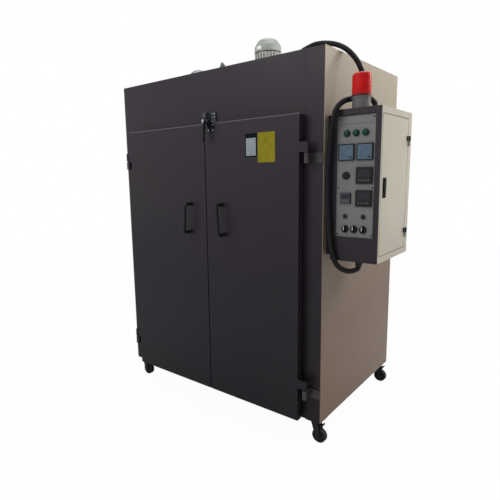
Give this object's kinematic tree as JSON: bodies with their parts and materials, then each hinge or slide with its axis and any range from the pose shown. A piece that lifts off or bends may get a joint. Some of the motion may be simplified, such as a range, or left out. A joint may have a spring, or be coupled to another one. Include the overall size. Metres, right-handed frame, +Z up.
{
  "type": "industrial batch oven",
  "caption": "Two-door insulated batch oven on casters, with a side control box, a roof fan motor, an exhaust pipe and a signal beacon.",
  "frame": {"origin": "middle of the whole footprint, on the floor", "axes": "+Z up, the doors face -Y, the control box is on the +X side"},
  "size_m": [1.6663, 1.0513, 2.201],
  "materials": {
    "cabinet_paint": "smooth dark purple-grey enamel",
    "side_paint": "cream enamel",
    "liner": "plain stainless sheet",
    "gasket": "woven heat-proof sealing rope",
    "latch_black": "black painted casting",
    "lever_chrome": "plated lever",
    "motor_paint": "grey-green motor enamel",
    "exhaust_metal": "dull galvanised sheet",
    "panel_face": "silver-grey panel",
    "lamp_green": "green moulded lens",
    "bezel_black": "black moulded plastic",
    "beacon_grey": "grey moulded base",
    "beacon_red": "red moulded dome",
    "conduit_black": "black corrugated conduit",
    "caster_steel": "black painted pressing",
    "wheel_black": "black rubber tread"
  },
  "bodies": {
    "cabinet": {"base_frame": "cabinet_paint", "floor_panel": "liner", "left_wall": "side_paint", "right_wall": "side_paint", "back_wall": "side_paint", "roof": "side_paint", "header": "cabinet_paint", "left_jamb": "cabinet_paint", "right_jamb": "cabinet_paint", "door_gasket": "gasket", "left_duct": "liner", "right_duct": "liner", "ceiling_grille": "liner", "frame_hinges": "cabinet_paint", "strike": "latch_black", "motor_body": "motor_paint", "motor_cowl": "motor_paint", "motor_terminal_box": "motor_paint", "exhaust_pipe": "exhaust_metal", "box_bracket": "latch_black", "box_shell": "side_paint", "box_fascia": "cabinet_paint", "instrument_panel": "panel_face", "lamps": "lamp_green", "meters": "bezel_black", "controllers": "bezel_black", "push_buttons": "bezel_black", "mounting_plate": "liner", "beacon_base": "beacon_grey", "beacon_dome": "beacon_red", "cable_glands": "conduit_black", "upper_conduit": "conduit_black", "lower_conduit": "conduit_black", "caster_plates": "caster_steel"},
    "left_door": {"left_door": "cabinet_paint", "left_handle": "latch_black"},
    "right_door": {"right_door": "cabinet_paint", "right_handle": "latch_black", "latch_base": "latch_black"},
    "latch_lever": {"latch_lever": "lever_chrome"},
    "box_door": {"box_door": "side_paint", "box_lock": "latch_black"},
    "damper": {"damper": "exhaust_metal"},
    "fork_fl": {"fork_fl": "caster_steel"},
    "wheel_fl": {"wheel_fl": "wheel_black"},
    "fork_fr": {"fork_fr": "caster_steel"},
    "wheel_fr": {"wheel_fr": "wheel_black"},
    "fork_rl": {"fork_rl": "caster_steel"},
    "wheel_rl": {"wheel_rl": "wheel_black"},
    "fork_rr": {"fork_rr": "caster_steel"},
    "wheel_rr": {"wheel_rr": "wheel_black"},
    "selector_1": {"selector_1": "bezel_black"},
    "selector_2": {"selector_2": "bezel_black"},
    "selector_3": {"selector_3": "bezel_black"}
  },
  "joints": [
    {"name": "left_door_swing", "type": "hinge", "parent": "cabinet", "child": "left_door", "pos_m": [-0.76815, -0.45935, 0.9], "axis": [0, 0, -1], "range_deg": [0, 180]},
    {"name": "right_door_swing", "type": "hinge", "parent": "cabinet", "child": "right_door", "pos_m": [0.50185, -0.45935, 0.9], "axis": [0, 0, 1], "range_deg": [0, 170]},
    {"name": "latch_lift", "type": "hinge", "parent": "right_door", "child": "latch_lever", "pos_m": [-0.06215, -0.49265, 1.649], "axis": [-1, 0, 0], "range_deg": [0, 100]},
    {"name": "damper_turn", "type": "hinge", "parent": "cabinet", "child": "damper", "pos_m": [-0.45015, -0.04235, 1.993], "axis": [1, 0, 0], "range_deg": [-45, 45]},
    {"name": "box_door_swing", "type": "hinge", "parent": "cabinet", "child": "box_door", "pos_m": [0.82815, -0.05435, 1.271], "axis": [0, 0, 1], "range_deg": [0, 120]},
    {"name": "swivel_fl", "type": "hinge", "parent": "cabinet", "child": "fork_fl", "pos_m": [-0.79115, -0.37235, 0.1], "axis": [0, 0, 1], "continuous": true},
    {"name": "roll_fl", "type": "hinge", "parent": "fork_fl", "child": "wheel_fl", "pos_m": [-0.77115, -0.37235, 0.037], "axis": [0, 1, 0], "continuous": true},
    {"name": "swivel_fr", "type": "hinge", "parent": "cabinet", "child": "fork_fr", "pos_m": [0.52485, -0.37235, 0.1], "axis": [0, 0, 1], "continuous": true},
    {"name": "roll_fr", "type": "hinge", "parent": "fork_fr", "child": "wheel_fr", "pos_m": [0.54485, -0.37235, 0.037], "axis": [0, 1, 0], "continuous": true},
    {"name": "swivel_rl", "type": "hinge", "parent": "cabinet", "child": "fork_rl", "pos_m": [-0.79115, 0.48365, 0.1], "axis": [0, 0, 1], "continuous": true},
    {"name": "roll_rl", "type": "hinge", "parent": "fork_rl", "child": "wheel_rl", "pos_m": [-0.77115, 0.48365, 0.037], "axis": [0, 1, 0], "continuous": true},
    {"name": "swivel_rr", "type": "hinge", "parent": "cabinet", "child": "fork_rr", "pos_m": [0.52485, 0.48365, 0.1], "axis": [0, 0, 1], "continuous": true},
    {"name": "roll_rr", "type": "hinge", "parent": "fork_rr", "child": "wheel_rr", "pos_m": [0.54485, 0.48365, 0.037], "axis": [0, 1, 0], "continuous": true},
    {"name": "selector_1_turn", "type": "hinge", "parent": "cabinet", "child": "selector_1", "pos_m": [0.67135, -0.41635, 1.11797], "axis": [0, 1, 0], "range_deg": [-45, 45]},
    {"name": "selector_2_turn", "type": "hinge", "parent": "cabinet", "child": "selector_2", "pos_m": [0.71285, -0.41635, 1.11797], "axis": [0, 1, 0], "range_deg": [-45, 45]},
    {"name": "selector_3_turn", "type": "hinge", "parent": "cabinet", "child": "selector_3", "pos_m": [0.75435, -0.41635, 1.11797], "axis": [0, 1, 0], "range_deg": [-45, 45]}
  ]
}
